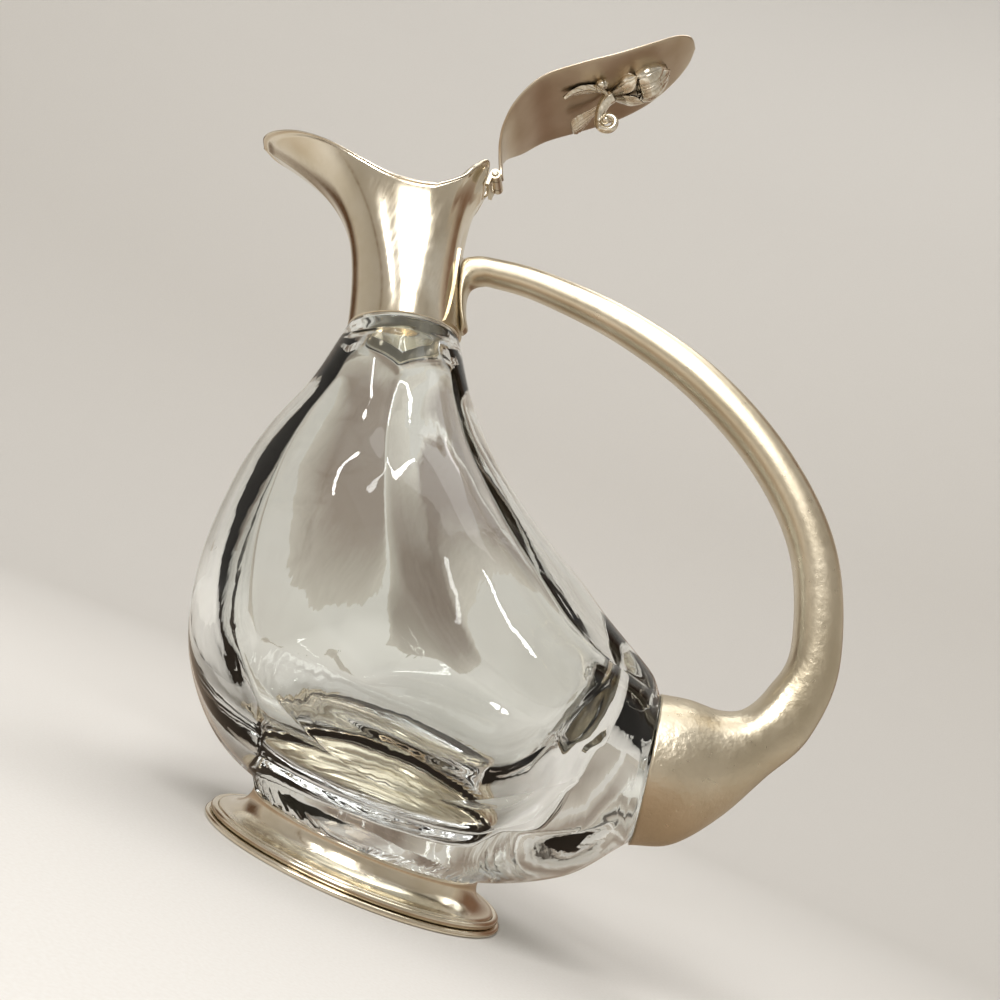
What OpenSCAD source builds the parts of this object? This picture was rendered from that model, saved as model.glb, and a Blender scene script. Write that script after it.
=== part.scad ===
// Claret jug: blown glass body with polished mounts, a foot, a hollow handle and a hinged lid.
// The origin is the centre of the foot's underside, +Z is up, the spout points to -X and the
// handle to +X. The lid is drawn open on its stop.

/* [Foot] */
// Largest radius of the base ring
foot_r = 56; // [54:0.5:60]
// Height of the base ring
foot_ring_h = 1.9; // [1.5:0.1:2.5]
// Radius of the seat that carries the glass
seat_r = 43.4; // [42:0.2:45]
// Height of the seat above the table
seat_z = 13.2; // [12.6:0.1:15]
// Diameter of the bead wire above the base ring
bead_d = 2.5; // [2:0.1:3]

/* [Neck] */
// Forward lean of the neck, in degrees
lean = 18; // [15:0.5:20]
// Outer radius of the collar
collar_r = 22.7; // [22:0.1:23.5]
// Depth that the glass neck reaches into the collar
neck_depth = 11; // [8:0.5:14]

/* [Handle] */
// Upward tilt of the handle socket, in degrees
socket_tilt = 8.2; // [6:0.2:10]
// Outer radius of the handle socket's mouth
socket_r = 26.8; // [26:0.1:27.5]
// Depth that the glass tail reaches into the socket
tail_depth = 9; // [6:0.5:10]

/* [Lid] */
// Angle from closed to fully open, in degrees
open_angle = 131.5; // [110:0.5:135]
// Thickness of the lid plate
lid_t = 1.6; // [1.2:0.1:2]
// Gap between the closed lid and the rim
lid_gap = 0.4; // [0.3:0.1:0.8]
// Radius of the hinge knuckles
knuckle_r = 2.2; // [2:0.1:2.5]
// Radius of the hinge pin
pin_r = 0.9; // [0.7:0.05:1.1]

/* [Materials] */
// Thickness of the silver sheet
sheet_t = 1.2; // [1:0.1:1.5]
// Clearance between the cement and what it holds
cement_gap = 0.1; // [0.05:0.05:0.3]

/* [Hidden] */

$fn = 96;
sides = 48;                     // facets round the glass and the neck mount
hinge = [-56.5, 0, 270];        // centre of the hinge pin
neck = [-65.5, 0, 193];         // centre of the collar's lower edge
tail = [83.6, 0, 71.5];         // centre of the socket's mouth

// ---- curves and skins --------------------------------------------------------------------

// Row i of a list of rows, carried on in a straight line past either end
function row(p, i) =
  i < 0 ? 2 * p[0] - p[1] :
  i >= len(p) ? 2 * p[len(p) - 1] - p[len(p) - 2] :
  p[i];

// Smooth curve through the rows of p, at s counted in rows
function along(p, s) =
  let (i = min(floor(s), len(p) - 2), u = s - i)
  let (a = row(p, i - 1), b = row(p, i), c = row(p, i + 1), d = row(p, i + 2))
  0.5 * (2 * b + (c - a) * u + (2 * a - 5 * b + 4 * c - d) * u * u
    + (3 * b - a - 3 * c + d) * u * u * u);

// Evenly spaced samples of that curve, n to a row
function samples(p, n) = [for (k = [0 : n * (len(p) - 1)]) along(p, k / n)];

// Cubic curve from a to d with the handles b and c
function bezier(a, b, c, d, t) =
  pow(1 - t, 3) * a + 3 * t * pow(1 - t, 2) * b + 3 * t * t * (1 - t) * c + t * t * t * d;

// Value that goes smoothly from back to side to front as angle goes from 0 to 90 to 180
function around(back, side, front, angle) =
  let (even = (back + front) / 4 - side / 2)
  side + even + (back - front) / 2 * cos(angle) + even * cos(2 * angle);

function sign_pow(v, e) = sign(v) * pow(abs(v), e);

// Solid between rings of equally many points. The ends are flat, or "open" so that the last
// ring joins the first, or "strip" where each ring doubles back along itself.
module skin(rings, ends = "flat") {
  n = len(rings[0]);
  count = len(rings);
  last = (count - 1) * n;
  bands = ends == "open" ? count : count - 1;
  walls = [for (i = [0 : bands - 1], k = [0 : n - 1])
    let (a = i * n, b = (i + 1) % count * n, j = (k + 1) % n)
    each [[a + k, a + j, b + j], [a + k, b + j, b + k]]];
  flat = [[for (k = [n - 1 : -1 : 0]) k], [for (k = [0 : n - 1]) last + k]];
  strip = [for (k = [0 : n / 2 - 2])
    let (j = n - 1 - k)
    each [[k, j, j - 1], [k, j - 1, k + 1],
      [last + k, last + j - 1, last + j], [last + k, last + k + 1, last + j - 1]]];
  polyhedron([for (r = rings) each r],
    concat(walls, ends == "flat" ? flat : ends == "strip" ? strip : []));
}

// ---- glass -------------------------------------------------------------------------------

// The blown bubble runs from the neck down and round to the tail. A row gives one ring of it:
// front or under point (x, z), back or upper point (x, z), and half-width.
glass_rows = [
  [-87, 185.6, -44, 199.6, 22.6],
  [-91.5, 159, -29, 178, 27],
  [-99, 132, -12.5, 160, 38],
  [-101, 106, 5, 146, 50],
  [-98, 72.6, 23, 134, 58],
  [-86, 42, 39, 125, 61],
  [-57.5, 18, 50.5, 117.5, 60],
  [-12, 9.5, 60, 112, 55],
  [33, 10, 68, 107.5, 46],
  [68, 25, 75, 103, 36],
  [86.6, 45.3, 79.2, 97.7, 26.6]];
// The hollow inside it, with its thick floor and solid tail
cavity_rows = [
  [-82.1, 187.6, -48.9, 198.4, 17.5],
  [-87, 159.5, -33, 177, 22.5],
  [-94.5, 132, -17, 158, 33.5],
  [-96.5, 106, 0.5, 143, 45.5],
  [-92.5, 75, 18, 129.5, 53],
  [-80, 48, 33, 119, 55.5],
  [-52, 32, 44, 110, 53.5],
  [-12, 30, 53, 102, 46],
  [25, 34, 59, 95, 36],
  [46, 45, 60.5, 88, 24],
  [54, 57, 60.5, 78, 11]];
lobes = 8;            // broad ribs blown into the glass
lobe_depth = 0.035;   // depth of the valleys between them, as a part of the radius
lobe_turn = 75;       // angle of one valley
heel_r = 44;          // the heel is ground flat out to here
heel_rise = 1.5;      // and its side rises this steeply to the bowl
stub_r = 19.9;        // ground neck inside the collar
tail_r = 23.2;        // ground tail inside the socket, at its mouth
tail_end_r = 19.5;    // and at its end

// Depth of the surface at an angle round the bubble, from 0 on a rib to 1 in a valley. The
// valleys fade out under the spout.
function valley(a) =
  (1 - abs(sin(lobes / 2 * (a - lobe_turn)))) * max(0.2, min(1, abs(180 - a) / 40));

// Ring of points for a row, facing down the bubble, with valleys of the given depth
function glass_ring(r, depth) = [for (k = [0 : sides - 1])
  let (a = k * 360 / sides, f = 1 - depth * valley(a))
  let (mid_x = (r[0] + r[2]) / 2, mid_z = (r[1] + r[3]) / 2)
  [mid_x + (r[2] - mid_x) * f * cos(a), -r[4] * f * sin(a), mid_z + (r[3] - mid_z) * f * cos(a)]];

// Ring with its low points brought down to the heel, which fits the foot
function on_heel(ring) = [for (p = ring)
  let (r = norm([p.x, p.y]), heel_z = seat_z + heel_rise * max(0, r - heel_r))
  [p.x, p.y, p.z > 60 ? p.z : r < heel_r ? seat_z : min(p.z, heel_z)]];

// Ring of radius r round the neck's axis, at height h above the collar's edge
function neck_ring(h, r) = [for (k = [0 : sides - 1])
  let (a = k * 360 / sides)
  neck + h * [-sin(lean), 0, cos(lean)] + r * [cos(a) * cos(lean), -sin(a), cos(a) * sin(lean)]];

// Ring of radius r round the tail's axis, at depth h inside the socket
function tail_ring(h, r) = [for (k = [0 : sides - 1])
  let (a = k * 360 / sides)
  tail + h * [cos(socket_tilt), 0, sin(socket_tilt)]
    + r * [-cos(a) * sin(socket_tilt), -sin(a), cos(a) * cos(socket_tilt)]];

module glass_body() {
  outer_rows = samples(glass_rows, 4);
  count = len(outer_rows);
  // valleys fade in below the neck and out again at the tail
  outer = [for (i = [0 : count - 1])
    on_heel(glass_ring(outer_rows[i], lobe_depth * pow(sin(180 * i / (count - 1)), 0.7)))];
  inner = [for (r = samples(cavity_rows, 2)) glass_ring(r, 0)];
  tail_stub = [tail_ring(tail_depth, tail_end_r), tail_ring(0.5, tail_r)];
  neck_stub = [neck_ring(-0.2, stub_r), neck_ring(neck_depth, stub_r), neck_ring(neck_depth, 17.5)];
  color("azure", 0.4)
    skin(concat(tail_stub, [for (i = [count - 1 : -1 : 0]) outer[i]], neck_stub, inner));
}

// ---- foot --------------------------------------------------------------------------------

flare_r = 7.6;                             // concave sweep of the foot shell
plate_r = 50;                              // bore of the base ring and edge of the plate
step_z = foot_ring_h + 2.7;                // top of the step beside the bead
bead_inset = 1.2;                          // from the base ring's edge to the bead wire
bead_r = foot_r - bead_inset - bead_d / 2; // radius to the middle of the bead wire
step_r = bead_r - bead_d / 2;              // the step's outside, against the bead
lip_r = seat_r - 5.4;                      // the seat's inner edge

// Points up the sweep of the shell, from the step to the seat, set in by t
function flare(t) = [for (a = [0 : 15 : 90])
  [seat_r + flare_r - (flare_r + t) * sin(a), step_z + flare_r - (flare_r + t) * cos(a)]];

module foot_shell() {
  inside = flare(sheet_t);
  color("silver")
    rotate_extrude()
      polygon(concat(
        [[step_r, foot_ring_h], [step_r, step_z]],
        flare(0),
        [[seat_r, seat_z], [lip_r, seat_z], [lip_r, seat_z - sheet_t],
          [seat_r - sheet_t, seat_z - sheet_t]],
        [for (i = [len(inside) - 1 : -1 : 0]) inside[i]],
        [[step_r - sheet_t, step_z - sheet_t], [step_r - sheet_t, foot_ring_h]]));
}

// Turned ring with a rounded edge
module foot_ring() {
  edge_z = foot_ring_h / 2;
  color("silver")
    rotate_extrude()
      polygon(concat(
        [[plate_r, 0]],
        [for (a = [-90 : 15 : 90]) [foot_r - edge_z + edge_z * cos(a), edge_z + edge_z * sin(a)]],
        [[plate_r, foot_ring_h]]));
}

module foot_bead() {
  color("silver")
    rotate_extrude()
      translate([bead_r, foot_ring_h + bead_d / 2])
        circle(d = bead_d, $fn = 32);
}

module foot_plate() {
  color("silver") cylinder(r = plate_r, h = sheet_t);
}

// Plaster that fills the foot and beds the glass
module foot_cement() {
  inside = flare(sheet_t + cement_gap);
  top_z = seat_z - sheet_t - cement_gap;
  color("ivory")
    rotate_extrude()
      polygon(concat(
        [[0, sheet_t], [plate_r - 0.5, sheet_t]],
        [for (p = inside) if (p.x < plate_r - 0.5) p],
        [[seat_r - sheet_t - cement_gap, top_z], [lip_r - cement_gap, top_z],
          [lip_r - cement_gap, seat_z - cement_gap], [0, seat_z - cement_gap]]));
}

// ---- neck mount --------------------------------------------------------------------------

// The rim from the notch behind the hinge round to the tip of the spout, one row every 15
// degrees: x, z and half-width
rim_rows = [
  [-58.5, 261.5, 0],
  [-58.8, 266.5, 5],
  [-60, 273.5, 8],
  [-62, 268, 12.5],
  [-65, 259.5, 16.5],
  [-74, 251, 20],
  [-89, 248, 22.5],
  [-105, 250, 23],
  [-121.5, 253, 22.3],
  [-136, 254, 20],
  [-148, 253, 15.5],
  [-155.5, 252, 9],
  [-158.5, 251, 0]];

// Point of the rim at an angle round the mouth, 0 at the hinge and 180 at the spout
function rim_point(a) =
  let (turn = a > 180 ? 360 - a : a, side = a > 180 ? 1 : -1)
  let (r = along(rim_rows, turn / 15))
  [r[0], side * max(0, r[2]), r[1]];

// Point of the mount's outside at angle a and at height t, 0 at the collar and 1 at the rim
function wall_point(a, t) =
  let (low = neck + collar_r * [cos(a) * cos(lean), -sin(a), cos(a) * sin(lean)])
  let (high = rim_point((a + 360) % 360))
  let (rise = around([-8.1, 0, 20], [-6.8, 0, 20.9], [-13.1, 0, 40.4], a))
  let (fall = around([-7.3, 0, -21.5], [5.5, 0, -16], [49, 0, -11.5], a))
  let (waist = 3.5 * [0, sin(a), 0])
  bezier(low, low + rise, high + fall + waist, high, t);

function wall_normal(a, t) =
  let (round_it = wall_point(a + 2, t) - wall_point(a - 2, t))
  let (up_it = wall_point(a, min(1, t + 0.02)) - wall_point(a, max(0, t - 0.02)))
  let (n = cross(up_it, round_it))
  n / norm(n);

// Ring of the mount, set in by the given depth
function wall_ring(t, inset) = [for (k = [0 : sides - 1])
  let (a = k * 360 / sides)
  wall_point(a, t) - inset * wall_normal(a, t)];

module neck_mount() {
  steps = 12;
  outer = [for (i = [0 : steps]) wall_ring(i / steps, 0)];
  // the sheet is beaten thinner towards the rim
  inner = [for (i = [steps : -1 : 0]) wall_ring(i / steps, sheet_t * (1 - 0.5 * pow(i / steps, 6)))];
  color("silver") skin(concat(outer, inner), ends = "open");
}

module in_neck() {
  translate(neck) rotate([0, -lean, 0]) children();
}

// Ring of cement between the ground neck and the collar
module neck_cement() {
  height = 5;
  color("ivory")
    in_neck()
      translate([0, 0, 1])
        difference() {
          cylinder(r = collar_r - sheet_t - 0.6, h = height);
          translate([0, 0, -1]) cylinder(r = stub_r + cement_gap, h = height + 2);
        }
}

// ---- handle ------------------------------------------------------------------------------

// The handle from the tongue on the neck round to the socket. A row gives outer point (x, z),
// finger-side point (x, z) and half-width.
handle_rows = [
  [-44, 201.8, -42.8, 202.2, 2.5],
  [-45.4, 205, -42.2, 205, 4.5],
  [-48.2, 210.5, -44.8, 209.5, 5.3],
  [-51, 217, -47.4, 215.5, 5.8],
  [-53.8, 225, -48, 219.5, 6],
  [-55.1, 230.8, -47.2, 222.2, 6],
  [-52, 233.8, -44.3, 224.5, 6],
  [-44, 236.2, -39.5, 225.6, 6],
  [-20, 238, -20, 226, 6.1],
  [18, 234.2, 15, 220.8, 6.8],
  [58, 222, 50, 209, 7.7],
  [94, 200, 83, 189, 8.4],
  [121, 170.5, 106, 164, 8.8],
  [135.4, 132, 117.3, 132, 9],
  [133, 103.5, 114.5, 115, 10],
  [123, 84, 109, 104.5, 13.5],
  [113, 65.5, 101, 100.6, 18.5],
  [101, 51, 90, 100, 24],
  [87.4, 45, 79.8, 98, 26.8]];
handle_arc = 12;         // facets round half the handle
solid_rows = 5;          // the tongue is solid as far as this row

// Point of the handle's skin at angle a, 0 on the finger side and 180 outside, scaled by f;
// squareness e runs from 1, round, down towards a box
function handle_point(r, a, f, e) =
  let (mid_x = (r[0] + r[2]) / 2, mid_z = (r[1] + r[3]) / 2)
  let (c = sign_pow(cos(a), e) * f, s = sign_pow(sin(a), e) * f)
  [mid_x + (r[2] - mid_x) * c, r[4] * s, mid_z + (r[3] - mid_z) * c];

// C-shaped ring of one half, s rows along: out along the skin and back along the hollow
function half_ring(r, s) =
  let (e = s < 14 ? 0.8 : min(1, 0.8 + 0.1 * (s - 14)))
  let (bore = max(0.05, (1 - sheet_t / r[4]) * min(1, s - solid_rows)))
  concat(
    [for (k = [0 : handle_arc]) handle_point(r, 180 * k / handle_arc, 1, e)],
    [for (k = [handle_arc : -1 : 0]) handle_point(r, 180 * k / handle_arc, bore, e)]);

// Half of the handle as a stamped shell, on the side given as -1 or 1
module half_handle(side) {
  rows = samples(handle_rows, 2);
  rings = [for (i = [len(rows) - 1 : -1 : 0]) half_ring(rows[i], i / 2)];
  mirror([0, (1 - side) / 2, 0]) skin(rings, ends = "strip");
}

module handle_near_half() {
  color("wheat") half_handle(-1);
}

module handle_far_half() {
  color("burlywood") half_handle(1);
}

// Shield-shaped plate that carries the tongue, wrapped round the back of the neck
module handle_pad() {
  pad_t = 0.9;
  steps = 10;
  top = 0.52;
  across = 8;
  rings = [for (i = [0 : steps])
    let (t = 0.02 + top * i / steps, half = 36 - 24 * pow(i / steps, 0.8))
    concat(
      [for (k = [0 : across]) let (a = half * (2 * k / across - 1)) wall_point(a, t) + pad_t * wall_normal(a, t)],
      [for (k = [across : -1 : 0]) let (a = half * (2 * k / across - 1)) wall_point(a, t)])];
  color("silver") skin(rings, ends = "strip");
}

// Ring of cement between the ground tail and the socket
module tail_cement() {
  taper = (tail_r - tail_end_r) / tail_depth;
  color("ivory")
    translate(tail)
      rotate([0, 90 - socket_tilt, 0])
        difference() {
          translate([0, 0, 1]) cylinder(r = socket_r - sheet_t - 1.2, h = 3);
          cylinder(r1 = tail_r + 0.3, r2 = tail_r + 0.3 - 5 * taper, h = 5);
        }
}

// ---- hinge and lid -----------------------------------------------------------------------

knuckle_half = 2.9;       // half the length of the lid's knuckle
ear_end = 6.2;            // outer end of the neck's knuckles
running = 0.05;           // radial clearance of the pin in the lid's knuckle

module across_hinge() {
  translate(hinge) rotate([90, 0, 0]) children();
}

// Two fixed knuckles, each on a lug that is soldered to an ear of the rim, and the stop that
// joins them under the lid's knuckle
module hinge_bracket() {
  gap = 0.3;
  inner_end = knuckle_half + gap;
  length = ear_end - inner_end;
  overlap = 0.5;
  lug_t = 1.5;
  lug_h = 5.5;
  lug_x = hinge.x - knuckle_r;
  stop_h = 2.2;
  color("silver") {
    for (side = [-1, 1])
      translate([0, side * (ear_end + inner_end) / 2, 0])
        difference() {
          union() {
            across_hinge() cylinder(r = knuckle_r, h = length, center = true);
            translate([lug_x, -length / 2, hinge.z - lug_h]) cube([lug_t, length, lug_h]);
          }
          across_hinge() cylinder(r = pin_r, h = 2 * length, center = true);
        }
    translate([lug_x, -inner_end - overlap, hinge.z - lug_h])
      cube([lug_t, 2 * (inner_end + overlap), stop_h]);
  }
}

module hinge_pin() {
  head_r = pin_r + 0.5;
  color("gainsboro")
    across_hinge() {
      cylinder(r = pin_r, h = 2 * ear_end, center = true);
      for (side = [0, 180])
        rotate([side, 0, 0]) translate([0, 0, ear_end]) cylinder(r1 = head_r, r2 = pin_r, h = 0.6);
    }
}

// The closed lid's underside from the hinge to the tip: x, z and half-width
lid_rows = [
  [-57.9, 269, 2.4],
  [-59.4, 265.4, 2.6],
  [-61.4, 261.2, 4.5],
  [-63.8, 257.4, 8.2],
  [-68, 253.6, 12.8],
  [-76, 250.4, 19],
  [-89, 248, 22.3],
  [-105, 250.5, 23],
  [-121.5, 253.7, 22.3],
  [-136, 254.7, 20],
  [-148, 253.7, 15.5],
  [-155.5, 252.7, 9],
  [-158.2, 252, 0.6]];

// Turns the closed lid's pieces open about the hinge
module opened() {
  translate(hinge) rotate([0, open_angle, 0]) translate(-hinge) children();
}

module lid_plate() {
  rows = samples(lid_rows, 3);
  count = len(rows);
  rings = [for (i = [0 : count - 1])
    let (r = rows[i], a = rows[max(0, i - 1)], b = rows[min(count - 1, i + 1)])
    let (run = [b[0] - a[0], b[1] - a[1]], up = [run.y, -run.x] / norm(run))
    let (w = max(0.4, r[2]), w2 = max(0.2, r[2] - 0.5))
    [for (q = [[w2, 0], [w, 0.35], [w, lid_t - 0.35], [w2, lid_t],
        [-w2, lid_t], [-w, lid_t - 0.35], [-w, 0.35], [-w2, 0]])
      [r[0] + up.x * (q[1] + lid_gap), q[0], r[1] + up.y * (q[1] + lid_gap)]]];
  color("silver") opened() skin(rings);
}

// Turning knuckle on the end of the lid's stem
module lid_knuckle() {
  color("silver")
    opened()
      across_hinge()
        difference() {
          cylinder(r = knuckle_r, h = 2 * knuckle_half, center = true);
          cylinder(r = pin_r + running, h = 3 * knuckle_half, center = true);
        }
}

// ---- finial ------------------------------------------------------------------------------

// Round stem through rows of x, y, z and radius, in facets
function tube_rings(rows, facets) = [for (i = [0 : len(rows) - 1])
  let (p = rows[i], a = rows[max(0, i - 1)], b = rows[min(len(rows) - 1, i + 1)])
  let (run = [b[0] - a[0], b[1] - a[1], b[2] - a[2]], t = run / norm(run))
  let (u = [0, 1, 0] - t.y * t, v = u / norm(u), w = cross(t, v))
  [for (k = [0 : facets - 1])
    let (q = k * 360 / facets)
    [p[0], p[1], p[2]] + p[3] * (cos(q) * v - sin(q) * w)]];

// Height of the closed lid's top at x
function lid_top(x) = lookup(-x, [for (r = lid_rows) [-r[0], r[1]]]) + lid_gap + lid_t;

sink = 0.3;          // the flat-backed castings are let into the lid by this much

// Rings of a half-round casting on the lid, from rows of x, half-width and height, with
// grooves that part it into petals
function relief_rings(rows, petals, groove) = [for (r = rows)
  [for (a = [0 : 12 : 180])
    let (f = 1 - groove * pow(1 - abs(sin(petals * a / 2)), 2))
    [r[0], r[1] * f * cos(a), lid_top(r[0]) - sink + r[2] * f * pow(sin(a), 0.8)]]];

// Half-open bud of broad petals, which points at the spout
module finial_bloom() {
  start_x = -126.3;
  length = 17.8;
  steps = 8;
  rows = [for (i = [0 : steps])
    let (u = i / steps)
    [start_x - length * u, 8.6 * pow(sin(35 + 130 * u), 0.7), 10 * pow(sin(35 + 120 * u), 0.8)]];
  color("silver") opened() skin(relief_rings(rows, 5, 0.1));
}

// Cup of sepals that holds the bud
module finial_calyx() {
  rows = [[-117, 2.2, 4.5], [-119.5, 4.8, 6.5], [-122.5, 6.9, 8.2], [-126.3, 8.6, 9]];
  color("silver") opened() skin(relief_rings(rows, 3, 0.12));
}

curl = [-110.6, 3, 265.9];     // middle of the tendril's curl

// Stem that leaves the calyx and rises into a tendril with a curled end
module finial_stem() {
  rows = concat(
    [[-117, 0, 257.2, 1.9], [-114.6, 0.3, 257.6, 1.9], [-112.1, 1.1, 258.8, 1.8],
      [-109.8, 2.1, 260.7, 1.6]],
    [for (a = [-40 : 25 : 335])
      let (r = a < 90 ? 3.7 : 3.7 - 2.8 * pow((a - 90) / 245, 1.2))
      [curl.x + r * cos(a), curl.y - 2.2 * (a + 40) / 375, curl.z + r * sin(a), 1.5 - a / 900]]);
  color("silver") opened() skin(tube_rings(rows, 8));
}

// Leaf through rows of x, y, height over the lid and half-width, tilted across its run
module leaf(rows, tilt) {
  rings = [for (r = rows)
    [for (q = [[-1, 0], [0, -1], [1, 0], [0.5, 0.6], [0, 0.9], [-0.5, 0.6]])
      [r[0], r[1] + q[0] * r[3] * cos(tilt), lid_top(r[0]) + r[2] + q[1] + q[0] * r[3] * sin(tilt)]]];
  color("silver") opened() skin([for (i = [len(rings) - 1 : -1 : 0]) rings[i]]);
}

// Long pointed leaf that lies on the lid
module finial_near_leaf() {
  leaf([[-115.8, -1.5, 2.4, 0.9], [-112.5, -5.2, 1.3, 1.9], [-108.5, -7, 1, 2.5],
    [-104.5, -7.9, 0.9, 2.5], [-100.5, -8.2, 1.2, 1.8], [-96.6, -8.1, 2, 0.5]], 0);
}

// Broad leaf that stands up from the lid towards its outer edge
module finial_far_leaf() {
  leaf([[-114.6, 1.2, 2.9, 1], [-111, 4.3, 3, 1.9], [-107.5, 6.4, 3.6, 3],
    [-104, 8.1, 4.3, 4], [-101, 9.1, 4.9, 3.9], [-98.4, 9.6, 5.2, 2.4]], 20);
}

// Round berry beside the root of the long leaf
module finial_berry() {
  berry_r = 2.2;
  x = -113;
  color("silver") opened() translate([x, -9, lid_top(x) + berry_r - sink]) sphere(r = berry_r);
}

glass_body();
foot_shell();
foot_ring();
foot_bead();
foot_plate();
foot_cement();
neck_mount();
neck_cement();
handle_pad();
handle_near_half();
handle_far_half();
tail_cement();
hinge_bracket();
hinge_pin();
lid_plate();
lid_knuckle();
finial_bloom();
finial_calyx();
finial_stem();
finial_near_leaf();
finial_far_leaf();
finial_berry();
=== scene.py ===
"""Claret jug: ribbed blown glass in polished and satin silver mounts, with the lid open."""

import math

import bmesh
import bpy
import numpy as np
from mathutils import Matrix


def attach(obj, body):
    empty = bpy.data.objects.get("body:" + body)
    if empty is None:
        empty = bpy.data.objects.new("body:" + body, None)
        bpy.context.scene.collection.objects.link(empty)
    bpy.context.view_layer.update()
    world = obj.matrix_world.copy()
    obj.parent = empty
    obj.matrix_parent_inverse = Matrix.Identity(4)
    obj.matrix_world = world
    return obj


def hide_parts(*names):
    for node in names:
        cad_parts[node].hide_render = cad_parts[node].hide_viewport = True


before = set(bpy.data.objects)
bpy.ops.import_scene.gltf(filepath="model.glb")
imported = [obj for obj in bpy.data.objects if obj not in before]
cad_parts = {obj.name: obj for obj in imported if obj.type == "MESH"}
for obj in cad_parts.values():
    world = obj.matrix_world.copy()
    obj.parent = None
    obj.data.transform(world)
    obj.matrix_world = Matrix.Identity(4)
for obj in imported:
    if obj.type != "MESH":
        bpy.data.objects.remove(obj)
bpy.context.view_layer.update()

MM = 0.001

# ---- sizes of the jug, in millimetres ------------------------------------------------------

HINGE = np.array([-56.5, 0, 270])
OPEN_ANGLE = 131.5

# The middle of the collar's bottom edge, the neck's lean towards the spout, the collar's radius,
# the silver's thickness and the radius of the rolled lip
NECK = np.array([-65.5, 0, 193])
LEAN = math.radians(18)
COLLAR_R = 22.7
SHEET = 1.2
LIP_R = 0.9

# The middle of the socket's mouth, where the glass tail goes into it
TAIL = np.array([83.6, 0, 71.5])
TAIL_TILT = math.radians(8.2)

# The foot's flat seat, and the glass heel that rises from its edge
SEAT_Z = 13.2
HEEL_R = 44
HEEL_RISE = 1.5

# Rings of the bubble from the neck to the tail: under point x and z, upper point x and z,
# half-width
GLASS = [
    (-87, 185.6, -44, 199.6, 22.6),
    (-91.5, 159, -29, 178, 27),
    (-99, 132, -12.5, 160, 38),
    (-101, 106, 5, 146, 50),
    (-98, 72.6, 23, 134, 58),
    (-86, 42, 39, 125, 60.9),
    (-57.5, 18, 50.5, 117.5, 60),
    (-12, 9.5, 60, 112, 55),
    (33, 10, 68, 107.5, 46),
    (68, 25, 75, 103, 36),
    (86.6, 45.3, 79.2, 97.7, 26.6),
]
CAVITY = [
    (-82.1, 187.6, -48.9, 198.4, 17.5),
    (-87, 159.5, -33, 177, 22.5),
    (-94.5, 132, -17, 158, 33.5),
    (-96.5, 106, 0.5, 143, 45.5),
    (-92.5, 75, 18, 129.5, 53),
    (-80, 48, 33, 119, 55.5),
    (-52, 32, 44, 110, 53.5),
    (-12, 30, 53, 102, 46),
    (25, 34, 59, 95, 36),
    (46, 45, 60.5, 88, 24),
    (54, 57, 60.5, 78, 11),
]
# The neck's bore ends in a blunt ring of glass, a little way down
BORE_END = [
    (-80.0, 183.0, -47.2, 194.4, 16.6),
    (-80.6, 179.0, -45.6, 190.6, 17.6),
]
# The glass peg in the socket, from its end: distance along the tail and radius
TAIL_PEG = [(9, 8), (9, 15), (9, 18.7), (8.6, 19.3), (0.5, 23.2)]
# The glass in the collar, up its outside and over its rim: height and radius
NECK_RIM = [(-0.2, 19.9), (10.5, 19.9), (11, 19.2), (11, 18.1), (10.3, 17.5)]

# Ribs: how many, the depth of their valleys as a part of the radius, and the angle of one valley
LOBES = 8
LOBE_DEPTH = 0.075
LOBE_TURN = 75

# The rim from the notch to the tip of the spout, every 15 degrees: x, z, half-width
RIM = [
    (-58.5, 261.5, 0),
    (-58.8, 266.5, 5),
    (-60, 273.5, 8),
    (-62, 268, 12.5),
    (-65, 259.5, 16.5),
    (-74, 251, 20),
    (-89, 248, 22.5),
    (-105, 250, 23),
    (-121.5, 253, 22.3),
    (-136, 254, 20),
    (-148, 253, 15.5),
    (-155.5, 252, 9),
    (-158.5, 251, 0),
]

# The handle from the tongue to the socket: outer point x and z, finger-side point x and z,
# half-width
HANDLE = [
    (-44, 201.8, -42.8, 202.2, 2.5),
    (-45.4, 205, -42.2, 205, 4.5),
    (-48.2, 210.5, -44.8, 209.5, 5.3),
    (-51, 217, -47.4, 215.5, 5.8),
    (-53.8, 225, -48, 219.5, 6),
    (-55.1, 230.8, -47.2, 222.2, 6),
    (-52, 233.8, -44.3, 224.5, 6),
    (-44, 236.2, -39.5, 225.6, 6),
    (-20, 238, -20, 226, 6.1),
    (18, 234.2, 15, 220.8, 6.8),
    (58, 222, 50, 209, 7.7),
    (94, 200, 83, 189, 8.4),
    (121, 170.5, 106, 164, 8.8),
    (134.8, 132, 117.3, 132, 9),
    (133, 103.5, 114.5, 115, 10),
    (123, 84, 109, 104.5, 13.5),
    (113, 65.5, 101, 100.6, 18.5),
    (101, 51, 90, 100, 24),
    (87.4, 45, 79.8, 98, 26.8),
]

# The closed lid's underside from the hinge to the tip: x, z, half-width
LID = [
    (-57.9, 269, 2.4),
    (-59.4, 265.4, 2.6),
    (-61.4, 261.2, 4.5),
    (-63.8, 257.4, 8.2),
    (-68, 253.6, 12.8),
    (-76, 250.4, 19),
    (-89, 248, 22.3),
    (-105, 250.5, 23),
    (-121.5, 253.7, 22.3),
    (-136, 254.7, 20),
    (-148, 253.7, 15.5),
    (-155.5, 252.7, 9),
    (-158.2, 252, 0.6),
]
LID_T = 1.6
LID_GAP = 0.4


# ---- curves and skins ----------------------------------------------------------------------


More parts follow.
